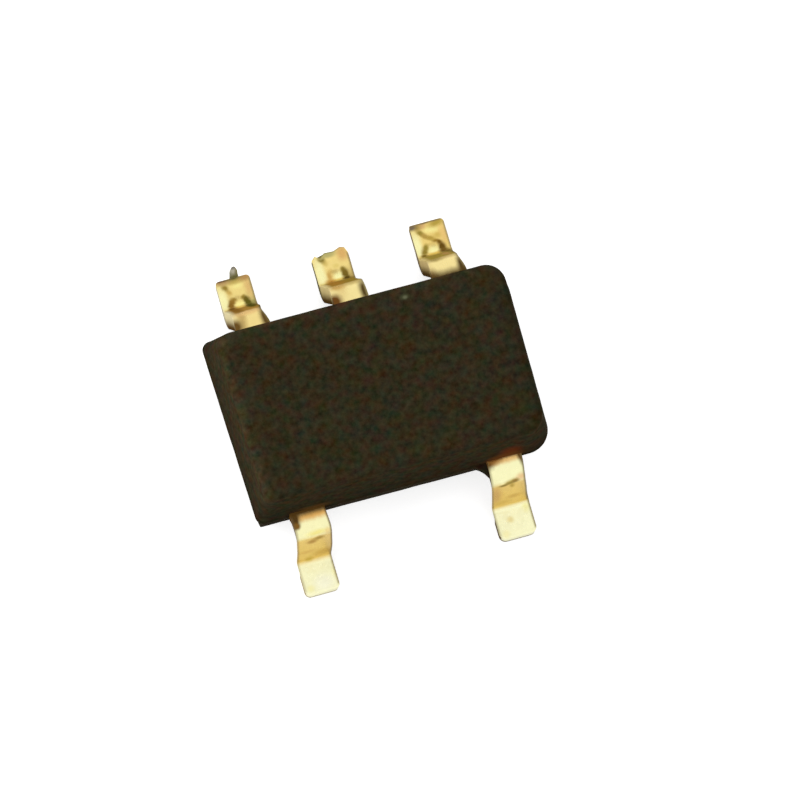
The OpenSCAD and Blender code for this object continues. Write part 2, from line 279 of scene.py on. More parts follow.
LEADS = {
    "lead_1": Lead(
        x=PITCH, side=1, left=(-0.110, -0.113, -0.115), right=(0.092, 0.101, 0.112),
        toe=(0.010, 0.028), trim=0.004, back=0.0, dented=True, end="cut",
        shoulder=tint(249, 228, 156), foot=tint(241, 212, 126),
        leg=Leg(0.106, 0.47, tint(176, 152, 66), 1.0), root=Root(0.046, tint(92, 68, 30)),
        sides=tint(222, 196, 134), line=tint(138, 122, 92),
        rims=(tint(144, 128, 84), tint(160, 140, 96)), left_rim=0.0,
        marks=[
            Mark(0.045, 0.28, 0.024, 0.12, tint(196, 152, 90), 0.9),
            Mark(0.088, 0.34, 0.016, 0.16, tint(150, 128, 68), 0.8),
            Mark(-0.050, 0.105, 0.050, 0.018, tint(170, 146, 66)),
            Mark(0.030, 0.105, 0.050, 0.014, tint(214, 184, 112), 0.7),
            Mark(-0.112, 0.32, 0.024, 0.24, tint(226, 202, 134)),
            # Painted highlights: the stripe along the left edge, and below it the spot in the heel
            Mark(-0.100, 0.610, 0.030, 0.090, LEFT_EDGE_HIGHLIGHT, 1.1),
            Mark(-0.004, 0.563, 0.034, 0.030, HEEL_HIGHLIGHT, 1.1),
            Mark(0.012, 0.700, 0.044, 0.020, tint(251, 238, 154), 1.0, 6),
            Mark(-0.048, 0.592, 0.015, 0.022, tint(160, 140, 58), 1.1, 20),
            Mark(-0.064, 0.558, 0.018, 0.034, tint(150, 128, 52), 1.1),
            Mark(-0.076, 0.500, 0.018, 0.034, tint(140, 116, 44), 1.1),
            Mark(0.022, 0.624, 0.020, 0.011, tint(158, 122, 46), 1.0, 10),
            Mark(0.046, 0.610, 0.018, 0.013, tint(134, 100, 34), 1.1, 40),
            Mark(0.056, 0.572, 0.021, 0.032, tint(104, 76, 24), 1.2),
            Mark(0.058, 0.525, 0.026, 0.040, tint(116, 88, 34), 1.1),
            Mark(0.082, 0.470, 0.020, 0.050, tint(128, 108, 46), 0.9),
            Mark(-0.058, 0.692, 0.015, 0.024, tint(156, 136, 60), 1.1, -40),
            Mark(-0.034, 0.666, 0.014, 0.026, tint(186, 154, 76), 1.1, -50),
            Mark(-0.004, 0.645, 0.014, 0.026, tint(188, 158, 72), 1.1, -65),
            Mark(0.050, 0.655, 0.030, 0.018, tint(206, 176, 84), 0.7),
            Mark(0.086, 0.655, 0.022, 0.055, tint(236, 198, 122), 0.9),
            Mark(0.060, 0.735, 0.050, 0.022, tint(186, 160, 72), 1.0, -8),
            Mark(-0.036, 0.738, 0.024, 0.020, tint(216, 176, 114)),
            Mark(-0.070, 0.735, 0.022, 0.022, tint(172, 146, 78)),
            Mark(-0.105, 0.742, 0.030, 0.018, tint(124, 108, 84), 1.2),
            Mark(0.0, 0.760, 0.16, 0.012, tint(128, 108, 72), 1.1),
            Mark(-0.110, 0.014, 0.034, 0.030, tint(104, 70, 34), 0.9),
            Mark(0.096, 0.036, 0.028, 0.050, tint(84, 66, 36), 1.1),
        ],
    ),
    "lead_2": Lead(
        x=0.0, side=1, left=(-0.113, -0.121, -0.127), right=(0.113, 0.100, 0.113),
        toe=(0.004, 0.004), trim=0.0, back=0.0, dented=True, end="torn",
        shoulder=tint(249, 230, 158), foot=tint(245, 220, 138),
        leg=Leg(0.104, 0.47, tint(166, 136, 54), 1.0), root=Root(0.016, tint(92, 66, 28)),
        sides=tint(230, 208, 144), line=tint(104, 98, 62),
        rims=(tint(152, 138, 92), tint(140, 120, 80)), left_rim=0.0,
        marks=[
            Mark(-0.045, 0.30, 0.050, 0.19, tint(182, 132, 54)),
            Mark(-0.060, 0.098, 0.050, 0.020, tint(200, 160, 78)),
            Mark(0.050, 0.102, 0.060, 0.016, tint(206, 180, 100), 0.8),
            Mark(-0.114, 0.32, 0.022, 0.24, tint(234, 214, 150)),
            Mark(-0.098, 0.600, 0.030, 0.100, LEFT_EDGE_HIGHLIGHT, 1.1),
            Mark(0.014, 0.562, 0.028, 0.032, tint(254, 250, 180), 1.1),
            Mark(-0.034, 0.608, 0.012, 0.018, tint(226, 194, 112), 0.9, 20),
            Mark(-0.046, 0.575, 0.014, 0.032, tint(210, 170, 92)),
            Mark(-0.052, 0.510, 0.026, 0.034, tint(196, 148, 68), 0.9),
            Mark(0.050, 0.602, 0.014, 0.018, tint(158, 136, 58), 1.1, -20),
            Mark(0.058, 0.568, 0.022, 0.036, tint(126, 104, 40), 1.2),
            Mark(0.064, 0.500, 0.026, 0.050, tint(102, 82, 24), 1.1),
            Mark(0.098, 0.520, 0.018, 0.070, tint(186, 162, 96), 0.9),
            Mark(0.012, 0.634, 0.018, 0.012, tint(226, 202, 114), 0.7),
            Mark(-0.052, 0.672, 0.016, 0.020, tint(208, 182, 98), 0.8, -30),
            Mark(-0.068, 0.703, 0.019, 0.026, tint(138, 120, 50), 1.1, -20),
            Mark(-0.020, 0.715, 0.054, 0.016, tint(188, 178, 112)),
            Mark(-0.015, 0.736, 0.070, 0.010, tint(120, 122, 76), 1.1),
            Mark(0.074, 0.700, 0.032, 0.040, tint(222, 178, 108)),
            Mark(0.060, 0.742, 0.056, 0.012, tint(136, 116, 92), 1.1),
            Mark(-0.104, 0.022, 0.040, 0.028, tint(108, 70, 30), 1.2),
            Mark(0.104, 0.040, 0.032, 0.050, tint(86, 68, 34), 1.1),
        ],
    ),
    "lead_3": Lead(
        x=-PITCH, side=1, left=(-0.108, -0.110, -0.114), right=(0.088, 0.107, 0.111),
        toe=(0.022, 0.026), trim=0.0, back=0.0, dented=True, end="burr",
        shoulder=tint(246, 222, 146), foot=YELLOW,
        leg=Leg(0.100, 0.47, tint(186, 142, 64), 1.0), root=Root(0.012, tint(88, 62, 28)),
        sides=tint(226, 212, 164), line=tint(192, 184, 160),
        rims=(tint(120, 106, 62), tint(150, 132, 88)), left_rim=0.0,
        marks=[
            Mark(-0.052, 0.30, 0.030, 0.24, tint(152, 110, 44), 1.1),
            Mark(0.066, 0.390, 0.028, 0.150, tint(96, 92, 32), 1.1),
            Mark(0.000, 0.092, 0.080, 0.016, tint(232, 192, 122), 0.9),
            Mark(-0.108, 0.30, 0.022, 0.24, tint(228, 216, 170)),
            Mark(-0.098, 0.600, 0.032, 0.085, LEFT_EDGE_HIGHLIGHT, 1.1),
            Mark(0.006, 0.552, 0.030, 0.028, tint(253, 241, 152), 1.1),
            Mark(0.016, 0.680, 0.030, 0.018, tint(251, 236, 150)),
            Mark(-0.026, 0.598, 0.018, 0.010, tint(180, 150, 66), 1.0, 30),
            Mark(-0.042, 0.584, 0.017, 0.018, tint(156, 120, 50), 1.2, 50),
            Mark(-0.056, 0.550, 0.018, 0.034, tint(140, 104, 40), 1.3),
            Mark(-0.060, 0.490, 0.018, 0.034, tint(140, 104, 40), 1.1),
            Mark(0.034, 0.602, 0.016, 0.010, tint(172, 144, 62), 1.0, -30),
            Mark(0.048, 0.582, 0.018, 0.020, tint(128, 108, 42), 1.2, -30),
            Mark(0.056, 0.545, 0.020, 0.036, tint(98, 90, 30), 1.3),
            Mark(0.064, 0.480, 0.022, 0.040, tint(96, 92, 32), 1.1),
            Mark(0.100, 0.520, 0.020, 0.060, tint(146, 142, 78), 0.9),
            Mark(0.086, 0.655, 0.024, 0.060, tint(222, 184, 116), 0.9),
            Mark(-0.046, 0.650, 0.014, 0.020, tint(206, 172, 90), 0.9, -35),
            Mark(-0.064, 0.684, 0.017, 0.022, tint(158, 132, 58), 1.1, -35),
            Mark(0.008, 0.714, 0.060, 0.020, tint(196, 172, 92)),
            Mark(0.080, 0.722, 0.042, 0.022, tint(184, 144, 88)),
            Mark(-0.070, 0.722, 0.050, 0.018, tint(188, 154, 100)),
            Mark(-0.078, 0.740, 0.050, 0.014, tint(106, 76, 50), 1.2),
            Mark(0.004, 0.742, 0.048, 0.020, tint(104, 94, 50), 1.2),
            Mark(0.080, 0.748, 0.054, 0.012, tint(132, 108, 80), 1.1),
            Mark(-0.106, 0.028, 0.040, 0.030, tint(108, 80, 36), 1.1),
            Mark(0.100, 0.045, 0.034, 0.056, tint(98, 74, 38), 1.2),
        ],
    ),
    "lead_4": Lead(
        x=-PITCH, side=-1, left=(-0.106, -0.108, -0.116), right=(0.126, 0.125, 0.112),
        toe=(0.036, 0.028), trim=0.0, back=0.050, dented=False, end="cut",
        shoulder=tint(253, 248, 192), foot=CREAM,
        leg=Leg(0.132, 0.515, tint(243, 210, 128), 0.25), root=Root(0.028, tint(104, 74, 32)),
        sides=tint(104, 84, 54), line=tint(176, 160, 124),
        rims=(tint(112, 92, 62), tint(164, 148, 104)), left_rim=0.5,
        marks=[
            Mark(0.030, 0.020, 0.200, 0.018, tint(224, 166, 80), 0.9),
            Mark(-0.106, 0.022, 0.036, 0.034, tint(82, 60, 28), 1.5),
            Mark(-0.094, 0.052, 0.022, 0.012, tint(126, 90, 36), 1.2),
            Mark(0.030, 0.106, 0.060, 0.014, tint(246, 232, 140), 0.9),
            Mark(0.100, 0.115, 0.020, 0.020, tint(236, 204, 130), 0.7),
            Mark(-0.008, 0.192, 0.030, 0.026, tint(190, 146, 70)),
            Mark(0.036, 0.162, 0.030, 0.022, tint(184, 148, 66)),
            Mark(0.060, 0.385, 0.060, 0.040, tint(216, 176, 88), 0.9),
            Mark(-0.034, 0.455, 0.024, 0.044, tint(216, 188, 92), 0.9),
            Mark(-0.050, 0.330, 0.060, 0.020, tint(226, 184, 106), 0.6),
            Mark(0.105, 0.650, 0.020, 0.040, tint(252, 245, 180), 0.7),
            Mark(-0.072, 0.715, 0.022, 0.018, tint(253, 246, 176), 0.8),
            Mark(0.020, 0.700, 0.060, 0.050, tint(254, 252, 226), 0.7),
        ],
    ),
    "lead_5": Lead(
        x=PITCH, side=-1, left=(-0.116, -0.116, -0.119), right=(0.107, 0.115, 0.126),
        toe=(0.044, 0.036), trim=0.006, back=0.044, dented=False, end="cut",
        shoulder=tint(253, 250, 196), foot=CREAM,
        leg=Leg(0.132, 0.490, tint(243, 209, 128), 0.25), root=Root(0.014, tint(140, 90, 42)),
        sides=tint(90, 70, 44), line=tint(112, 94, 60),
        rims=(tint(112, 100, 64), tint(134, 118, 72)), left_rim=0.5,
        marks=[
            Mark(0.010, 0.013, 0.180, 0.014, tint(232, 178, 98), 0.8),
            Mark(-0.108, 0.008, 0.034, 0.026, tint(92, 62, 26), 1.2),
            Mark(-0.066, 0.004, 0.050, 0.018, tint(150, 104, 48)),
            Mark(0.108, 0.010, 0.020, 0.034, tint(96, 68, 34), 1.2),
            Mark(0.080, 0.108, 0.034, 0.018, tint(236, 198, 142), 0.9),
            Mark(0.018, 0.128, 0.036, 0.020, tint(196, 170, 76)),
            Mark(-0.038, 0.150, 0.030, 0.014, tint(152, 126, 50), 1.1),
            Mark(0.002, 0.136, 0.024, 0.014, tint(160, 136, 54), 1.1),
            Mark(0.038, 0.126, 0.022, 0.014, tint(154, 122, 50), 1.1),
            Mark(0.018, 0.175, 0.014, 0.028, tint(190, 158, 68), 0.9),
            Mark(-0.090, 0.270, 0.032, 0.110, tint(214, 172, 110), 0.9),
            Mark(-0.050, 0.395, 0.050, 0.026, tint(222, 186, 98), 0.8),
            Mark(0.030, 0.340, 0.044, 0.026, tint(216, 176, 94), 0.8),
            Mark(0.095, 0.560, 0.022, 0.040, tint(250, 242, 168), 0.8),
            Mark(-0.024, 0.628, 0.020, 0.018, tint(238, 222, 156), 0.9),
            Mark(-0.075, 0.712, 0.022, 0.022, tint(252, 243, 180), 0.8),
        ],
    ),
}

# Marks on the burr: painted shade and dark reflection at its tip, along its sides and at its root
BURR_MARKS = [
    Mark(0.0, 0.078, 0.030, 0.016, tint(120, 114, 104)),
    Mark(0.022, 0.035, 0.012, 0.045, tint(124, 114, 74), 0.9),
    Mark(-0.026, 0.025, 0.010, 0.040, tint(138, 136, 112), 0.8),
    Mark(0.0, 0.006, 0.040, 0.026, tint(104, 98, 56)),
]

# One stain on the body, or a painted glow of orange light thrown back from a gold lead onto the wall
# above it: its middle, half sizes, colour and strength
StainOrGlow = namedtuple("StainOrGlow", "middle half_sizes colour strength")
STAINS_AND_GLOWS = [
    StainOrGlow((0.285, 0.482, 0.95), (0.032, 0.020, 0.02), tint(82, 86, 58), 0.7),
    StainOrGlow((0.290, 0.479, 0.95), (0.016, 0.012, 0.02), tint(108, 110, 84), 0.8),
    # The next three are a painted glow: orange light thrown back from the near leads onto the wall above
    # them
    StainOrGlow((0.690, -0.590, 0.64), (0.080, 0.060, 0.100), tint(112, 50, 20), 0.8),
    StainOrGlow((0.655, -0.600, 0.56), (0.130, 0.050, 0.070), tint(112, 66, 28), 1.0),
    StainOrGlow((-0.610, -0.600, 0.56), (0.120, 0.050, 0.050), tint(100, 70, 34), 0.9),
    StainOrGlow((-0.100, 0.560, 0.94), (0.050, 0.045, 0.05), tint(84, 48, 28), 0.7),
    StainOrGlow((0.560, 0.565, 0.94), (0.060, 0.030, 0.05), tint(86, 58, 34), 0.6),
    StainOrGlow((-0.600, 0.560, 0.94), (0.070, 0.025, 0.05), tint(84, 58, 34), 0.6),
]

# Colour of the moulding compound, and the light, reddish and bluish grains that mottle it: where each
# pattern starts, its fineness, detail and roughness, and how far it shifts the colour
MOULD_COLOUR = (0.0334, 0.0268, 0.0126)
Grain = namedtuple("Grain", "start scale detail roughness shift")
GRAINS = [
    Grain((0, 0, 0), 24.0, 3.0, 0.65, (0.064, 0.056, 0.028)),
    Grain((7, 3, 5), 16.0, 2.0, 0.5, (0.046, -0.018, -0.006)),
    Grain((1, 9, 4), 12.0, 2.0, 0.5, (-0.012, -0.004, 0.016)),
]

# How the top face and the walls grow lighter or darker, all of it painted light and shade: along which
# axis, from where to where, and how bright they are before and after. The top face is painted lighter at
# its left end and towards its far edge and darker at its right end, as light from the upper left falls on
# it; the walls are painted darker towards the parting line and at the left end.
Shade = namedtuple("Shade", "axis start end before after")
TOP_TONE = (1.0, 1.0, 1.0)
TOP_SHADES = [
    Shade("x", 0.035 - HALF_LENGTH, 0.165 - HALF_LENGTH, 1.40, 1.0),
    Shade("x", HALF_LENGTH - 0.185, HALF_LENGTH - 0.035, 1.0, 0.88),
    Shade("y", HALF_WIDTH - 0.21, HALF_WIDTH - 0.05, 1.0, 1.14),
]
WALL_TONE = (1.0, 0.92, 0.87)
WALL_SHADES = [
    Shade("z", PARTING_HEIGHT - 0.04, BODY_HIGH.z - 0.03, 0.80, 1.25),
    Shade("x", 0.035 - HALF_LENGTH, 0.075 - HALF_LENGTH, 0.88, 1.0),
]
WALL_TO_TOP = (BODY_HIGH.z - 0.05, BODY_HIGH.z - 0.002)


class Graph:
    """A node tree with short ways to add its nodes."""

    def __init__(self, tree):
        self.tree = tree

    def put(self, socket, value):
        if isinstance(value, bpy.types.NodeSocket):
            self.tree.links.new(value, socket)
        else:
            socket.default_value = value

    def add(self, kind, inputs, output=0, **settings):
        node = self.tree.nodes.new(kind)
        for key, value in settings.items():
            setattr(node, key, value)
        for key, value in inputs.items():
            self.put(node.inputs[key], value)
        return node.outputs[output]

    def math(self, operation, *values):
        return self.add("ShaderNodeMath", dict(enumerate(values)), operation=operation)

    def vector(self, operation, *values, output=0):
        return self.add("ShaderNodeVectorMath", dict(enumerate(values)), output, operation=operation)

    def scaled(self, vector, factor):
        return self.add("ShaderNodeVectorMath", {0: vector, "Scale": factor}, operation="SCALE")

    def parts(self, vector):
        node = self.tree.nodes.new("ShaderNodeSeparateXYZ")
        self.put(node.inputs["Vector"], vector)
        return list(node.outputs)

    def noise(self, at, scale, detail=2.0, roughness=0.5, output=0):
        inputs = {"Vector": at, "Scale": scale, "Detail": detail, "Roughness": roughness}
        return self.add("ShaderNodeTexNoise", inputs, output)

    def smooth(self, value, low, high, to_low=0.0, to_high=1.0):
        inputs = {"Value": value, "From Min": low, "From Max": high, "To Min": to_low, "To Max": to_high}
        return self.add("ShaderNodeMapRange", inputs, interpolation_type="SMOOTHSTEP")

    def fading(self, value, low, high):
        return self.smooth(value, low, high, 1.0, 0.0)

    def mix(self, factor, first, second):
        inputs = {0: factor, 6: first, 7: second}
        return self.add("ShaderNodeMix", inputs, 2, data_type="RGBA")

    def bump(self, height, distance, strength=1.0):
        inputs = {"Height": height, "Distance": distance, "Strength": strength}
        return self.add("ShaderNodeBump", inputs)

    def ray(self, kind):
        """1 for rays of one kind, such as Is Camera Ray, and 0 for others"""
        return self.add("ShaderNodeLightPath", {}, kind)


class Finish(Graph):
    """A material of one Principled shader, with its node tree."""

    def __init__(self, name):
        self.material = bpy.data.materials.new(name)
        self.material.use_nodes = True
        super().__init__(self.material.node_tree)
        self.shader = self.tree.nodes["Principled BSDF"]

    def set(self, **values):
        """Fills sockets of the shader, with _ for each space in a name"""
        for key, value in values.items():
            self.put(self.shader.inputs[key.replace("_", " ")], value)

    def place_mm(self):
        """The place on the object, in millimetres"""
        return self.scaled(self.add("ShaderNodeTexCoord", {}, "Object"), 1 / MM)

    def strip(self):
        """The place on a strip: across, along and level"""
        return self.add("ShaderNodeAttribute", {}, "Vector", attribute_name="strip")


def mottled(finish, place):
    """The compound's brown with its grains"""
    colour = MOULD_COLOUR
    for grain in GRAINS:
        at = finish.vector("ADD", place, grain.start)
        level = finish.noise(at, grain.scale, grain.detail, grain.roughness)
        level = finish.math("SUBTRACT", level, 0.5)
        colour = finish.vector("ADD", colour, finish.scaled(grain.shift, level))
    return colour


def shaded(finish, tone, shades, axes):
    """A tone made lighter and darker by each of the shades"""
    for shade in shades:
        factor = finish.smooth(axes[shade.axis], shade.start, shade.end, shade.before, shade.after)
        tone = finish.scaled(tone, factor)
    return tone


def stained_or_glowing(finish, colour, place, stain_or_glow):
    """The colour with one soft stain or painted glow laid over it"""
    at = finish.vector("DIVIDE", finish.vector("SUBTRACT", place, stain_or_glow.middle), stain_or_glow.half_sizes)
    reach = finish.vector("LENGTH", at, output=1)
    return finish.mix(finish.smooth(reach, *STAIN_AND_GLOW_FADE, stain_or_glow.strength, 0.0), colour, stain_or_glow.colour)


def mould_finish():
    """Mottled matt compound: stains and painted gold glow where the leads leave it, painted light and shade
    """
    finish = Finish("mould")
    place = finish.place_mm()
    axes = dict(zip("xyz", finish.parts(place)))
    # Painted shade on the walls, and painted light and shade on the top face
    wall = shaded(finish, WALL_TONE, WALL_SHADES, axes)
    top = shaded(finish, TOP_TONE, TOP_SHADES, axes)
    tone = finish.mix(finish.smooth(axes["z"], *WALL_TO_TOP), wall, top)
    colour = finish.vector("MULTIPLY", mottled(finish, place), tone)
    # Stains, and the painted glow above the near leads
    for stain_or_glow in STAINS_AND_GLOWS:
        colour = stained_or_glowing(finish, colour, place, stain_or_glow)
    grain = finish.noise(place, 70.0, 4.0, 0.65)
    finish.set(Base_Color=colour, Roughness=0.85, Specular_IOR_Level=0.01)
    finish.set(Normal=finish.bump(grain, 0.002 * MM, 0.5))
    return finish.material


def marked(finish, colour, at_strip, mark):
    """The colour with one soft-edged mark laid over it"""
    at = finish.vector("SUBTRACT", at_strip, (mark.across, mark.along, 0.0))
    inputs = {"Vector": at, "Angle": math.radians(mark.turn)}
    at = finish.add("ShaderNodeVectorRotate", inputs, rotation_type="Z_AXIS")
    at = finish.vector("MULTIPLY", at, (1 / mark.half_width, 1 / mark.half_length, 0.0))
    reach = finish.vector("LENGTH", at, output=1)
    return finish.mix(finish.smooth(reach, *MARK_FADE, mark.strength, 0.0), colour, mark.colour)


def ragged_strip(finish, strip):
    """The place on a strip, pushed a little to and fro so that marks get uneven edges"""
    push = finish.noise(strip, MARK_PUSH_FINENESS, output=1)
    push = finish.vector("SUBTRACT", push, (0.5, 0.5, 0.5))
    return finish.vector("ADD", strip, finish.vector("MULTIPLY", push, MARK_PUSH))


def leg_share(finish, along, leg):
    """1 over the leg and 0 off it"""
    onset = finish.smooth(along, leg.start - LEG_ONSET, leg.start + LEG_ONSET)
    return finish.math("MULTIPLY", onset, finish.fading(along, leg.end - LEG_FADE, leg.end + LEG_FADE))


def rim_share(finish, across, along, edge, left_rim, tip):
    """How much of the rim's painted dark edge shows beside the outline, less on the left and none at the tip
    """
    sided = finish.smooth(across, *RIM_CHANGE, left_rim, RIGHT_RIM)
    rim = finish.math("MULTIPLY", finish.fading(edge, *RIM_WIDTH), sided)
    return finish.math("MULTIPLY", rim, finish.fading(along, *(tip - back for back in RIM_END)))


def side_tone(finish, along, edge, on_foot, on_tip, lead):
    """Tone of the sides, painted light or shade: the root's near the wall and low down, and on the foot its
    line's and its tip's
    """
    low = finish.math("MAXIMUM", finish.fading(edge, *SIDE_LOW), finish.fading(along, *NEAR_WALL))
    tone = finish.mix(low, lead.sides, lead.root.tone)
    tone = finish.mix(on_foot, tone, lead.line)
    return finish.mix(on_tip, tone, lead.foot)


def gold_finish(name, lead, tip):
    """Gold plating with one lead's tones and marks, many painted light and shade, dull on its leg, sides and
    root
    """
    finish = Finish(name)
    strip = finish.strip()
    across, along, edge = finish.parts(strip)
    ragged = ragged_strip(finish, strip)
    ragged_along = finish.parts(ragged)[1]
    on_leg = leg_share(finish, ragged_along, lead.leg)
    on_foot = finish.smooth(along, *FOOT_START)
    on_side = finish.fading(edge, *SIDE_TOP)
    on_tip = finish.smooth(along, *(tip - back for back in TIP_FACE))
    on_tip = finish.math("MULTIPLY", on_tip, finish.smooth(edge, *TIP_FACE_LOW))
    on_root = finish.fading(ragged_along, 0.0, lead.root.reach)
    colour = finish.mix(finish.smooth(along, lead.leg.start, lead.leg.end), lead.shoulder, lead.foot)
    # The leg's tone, a painted reflection
    colour = finish.mix(on_leg, colour, lead.leg.tone)
    for mark in lead.marks:
        colour = marked(finish, colour, ragged, mark)
    # Painted dark rim of shade along the outline
    rim = rim_share(finish, across, along, edge, lead.left_rim, tip)
    colour = finish.mix(rim, colour, finish.mix(on_foot, *lead.rims))
    # Sides painted light or shade
    colour = finish.mix(on_side, colour, side_tone(finish, along, edge, on_foot, on_tip, lead))
    # Root: painted shade and reflection of the wall, partly compound
    colour = finish.mix(on_root, colour, lead.root.tone)
    cloud = finish.noise(strip, 16.0, 3.0)
    colour = finish.scaled(colour, finish.smooth(cloud, 0.3, 0.7, 0.965, 1.0))
    dull_side = finish.math("MULTIPLY", on_side, finish.math("SUBTRACT", 1.0, on_tip))
    dull_leg = finish.math("MULTIPLY", on_leg, lead.leg.dull)
    dull = finish.math("MAXIMUM", finish.math("MAXIMUM", dull_side, dull_leg), on_root)
    speckle = finish.noise(strip, 45.0, 4.0, 0.6)
    finish.set(Base_Color=colour, Metallic=finish.math("SUBTRACT", 1.0, dull), Specular_IOR_Level=0.0)
    finish.set(Roughness=finish.smooth(speckle, 0.3, 0.7, 0.26, 0.40))
    finish.set(Normal=finish.bump(speckle, 0.002 * MM, 0.3))
    return finish.material


def burr_finish():
    """Grey, work-hardened metal of the burr, with painted dark edges"""
    finish = Finish("burr_metal")
    strip = finish.strip()
    ragged = ragged_strip(finish, strip)
    cloud = finish.noise(strip, 45.0, 3.0)
    colour = finish.mix(finish.smooth(cloud, 0.35, 0.65), tint(172, 166, 146), tint(200, 192, 170))
    for mark in BURR_MARKS:
        colour = marked(finish, colour, ragged, mark)
    finish.set(Base_Color=colour, Metallic=1.0, Roughness=finish.smooth(cloud, 0.3, 0.7, 0.3, 0.5))
    return finish.material


def silicon_finish():
    """Polished silicon with a faint grid of circuit blocks"""
    finish = Finish("silicon")
    place = finish.place_mm()
    blocks = finish.add("ShaderNodeTexVoronoi", {"Vector": place, "Scale": 22.0}, distance="CHEBYCHEV")
    colour = finish.mix(finish.smooth(blocks, 0.2, 0.6), (0.10, 0.11, 0.14, 1), (0.20, 0.19, 0.24, 1))
    finish.set(Base_Color=colour, Metallic=0.6, Roughness=0.25)
    return finish.material


def glue_finish():
    """Silver-filled adhesive"""
    finish = Finish("die_glue")
    flakes = finish.noise(finish.place_mm(), 90.0, 3.0)
    colour = finish.mix(flakes, (0.35, 0.35, 0.34, 1), (0.7, 0.69, 0.66, 1))
    finish.set(Base_Color=colour, Metallic=0.5, Roughness=finish.smooth(flakes, 0.2, 0.8, 0.45, 0.7))
    return finish.material


def wire_finish():
    """Drawn gold wire"""
    finish = Finish("bond_wire")
    streaks = finish.noise(finish.place_mm(), 120.0, 2.0)
    colour = finish.mix(streaks, (0.95, 0.66, 0.25, 1), (1.0, 0.78, 0.38, 1))
    finish.set(Base_Color=colour, Metallic=1.0, Roughness=0.22)
    return finish.material


def strip_place(along):
    """Middle of the strip at a distance along it from the wall: y, z and how far it has turned downwards"""
    if along < BEND_START:
        return WALL_Y + along, STRIP_MIDDLE, 0.0
    if along < LEG_END:
        turn = min((along - BEND_START) / MIDDLE_RADIUS, BEND_TURN)
        down = max(along - BEND_END, 0.0)
        y = UPPER_BEND.x + MIDDLE_RADIUS * math.sin(turn) + down * math.cos(turn)
        return y, UPPER_BEND.y + MIDDLE_RADIUS * math.cos(turn) - down * math.sin(turn), turn
    turn = max(BEND_TURN - (along - LEG_END) / MIDDLE_RADIUS, 0.0)
    out = max(along - HEEL, 0.0)
    y = LOWER_BEND.x - MIDDLE_RADIUS * math.sin(turn) + out
    return y, LOWER_BEND.y - MIDDLE_RADIUS * math.cos(turn), turn


def steps(start, end, step):
    """Evenly spaced values after start, up to and including end"""
    count = max(1, round((end - start) / step))
    return [start + (end - start) * k / count for k in range(1, count + 1)]


def inner_rows(start, end, left, right, radius):
    """Rows of a head or paddle inside the body, with rounded corners: along, left edge, right edge"""
    rows = []
    for k in range(CORNER_STEPS + 1):
        angle = math.pi / 2 * k / CORNER_STEPS
        inset = radius * (1 - math.sin(angle))
        rows.append((start + radius * (1 - math.cos(angle)), left + inset, right - inset))
    closing = [(start + end - along, x0, x1) for along, x0, x1 in reversed(rows)]
    return rows + closing


def eased(stations, values, at):
    """Value at a place between stations, eased from one to the next"""
    for k in range(1, len(stations)):
        if at < stations[k]:
            share = max(0.0, (at - stations[k - 1]) / (stations[k] - stations[k - 1]))
            share = share * share * (3 - 2 * share)
            return values[k - 1] + (values[k] - values[k - 1]) * share
    return values[-1]


def rounding(past, radius):
    """How far a rounded corner draws a face in, at a distance past the corner's start"""
    return radius - math.sqrt(max(0.0, radius ** 2 - max(0.0, past) ** 2))


def outer_rows(start, tip, lead):
    """Rows of the neck, the bends and the foot: along, left edge, right edge"""
    half = LEAD_WIDTH / 2
    widest = max(lead.toe)
    places = [start] + steps(start, tip - widest, ROW_STEP)
    turns = steps(0.0, math.pi / 2, math.pi / 2 / TOE_STEPS)
    places += [tip - widest + widest * math.sin(turn) for turn in turns]
    rows = []
    for along in places:
        left_toe, right_toe = (rounding(along - (tip - radius), radius) for radius in lead.toe)
        left = eased(STATIONS, (-half, *lead.left), along) + left_toe
        right = eased(STATIONS, (half, *lead.right), along) - right_toe
        rows.append((along, left, right))
    return rows


def arc(across, up, half_width, half_height, start, count):
    """Quarter turn clockwise of an ellipse round a middle, without its first point"""
    points = []
    for k in range(1, count + 1):
        angle = start - math.pi / 2 * k / count
        points.append((across + half_width * math.cos(angle), up + half_height * math.sin(angle)))
    return points


def section(left, right, top, bottom, roll, back):
    """Closed section of the strip, clockwise from the upper left, as places across and above its middle; its
    underside is narrower by back on each side"""
    corner = BOTTOM_CORNER
    drop = ROLL_DROP * roll
    wide = right - left - 2 * roll
    points = [(left + roll + wide * k / TOP_COLUMNS, top) for k in range(TOP_COLUMNS + 1)]
    points += arc(right - roll, top - drop, roll, drop, math.pi / 2, ROLL_STEPS)
    low, high = bottom + corner, top - drop
    shares = steps(0.0, 1.0, 1 / SIDE_COLUMNS)
    points += [(right - back * share, high + (low - high) * share) for share in shares]
    points += arc(right - back - corner, low, corner, corner, 0.0, 2)
    start, wide = right - back - corner, right - left - 2 * (corner + back)
    points += [(start - wide * k / BOTTOM_COLUMNS, bottom) for k in range(1, BOTTOM_COLUMNS + 1)]
    points += arc(left + back + corner, low, corner, corner, -math.pi / 2, 2)
    points += [(left + back * (1 - share), low + (high - low) * share) for share in shares]
    points += arc(left + roll, high, roll, drop, math.pi, ROLL_STEPS)[:-1]
    return points


def torn_reach(across):
    """How far a torn end reaches past its tip, at a place across it"""
    share = max(-1.0, min(1.0, across / (LEAD_WIDTH / 2)))
    for (x0, y0), (x1, y1) in zip(TORN_OUTLINE, TORN_OUTLINE[1:]):
        if share <= x1:
            return y0 + (y1 - y0) * (share - x0) / (x1 - x0)


def dented(point, lead):
    """A point pressed down by the soft round dent in the heel"""
    reach = math.hypot(point.x - lead.x, point.y - LOWER_BEND.x) / DENT_RADIUS
    return point - Vector((0, 0, DENT_DEPTH * (1 - reach ** 2) ** 2)) if reach < 1 else point


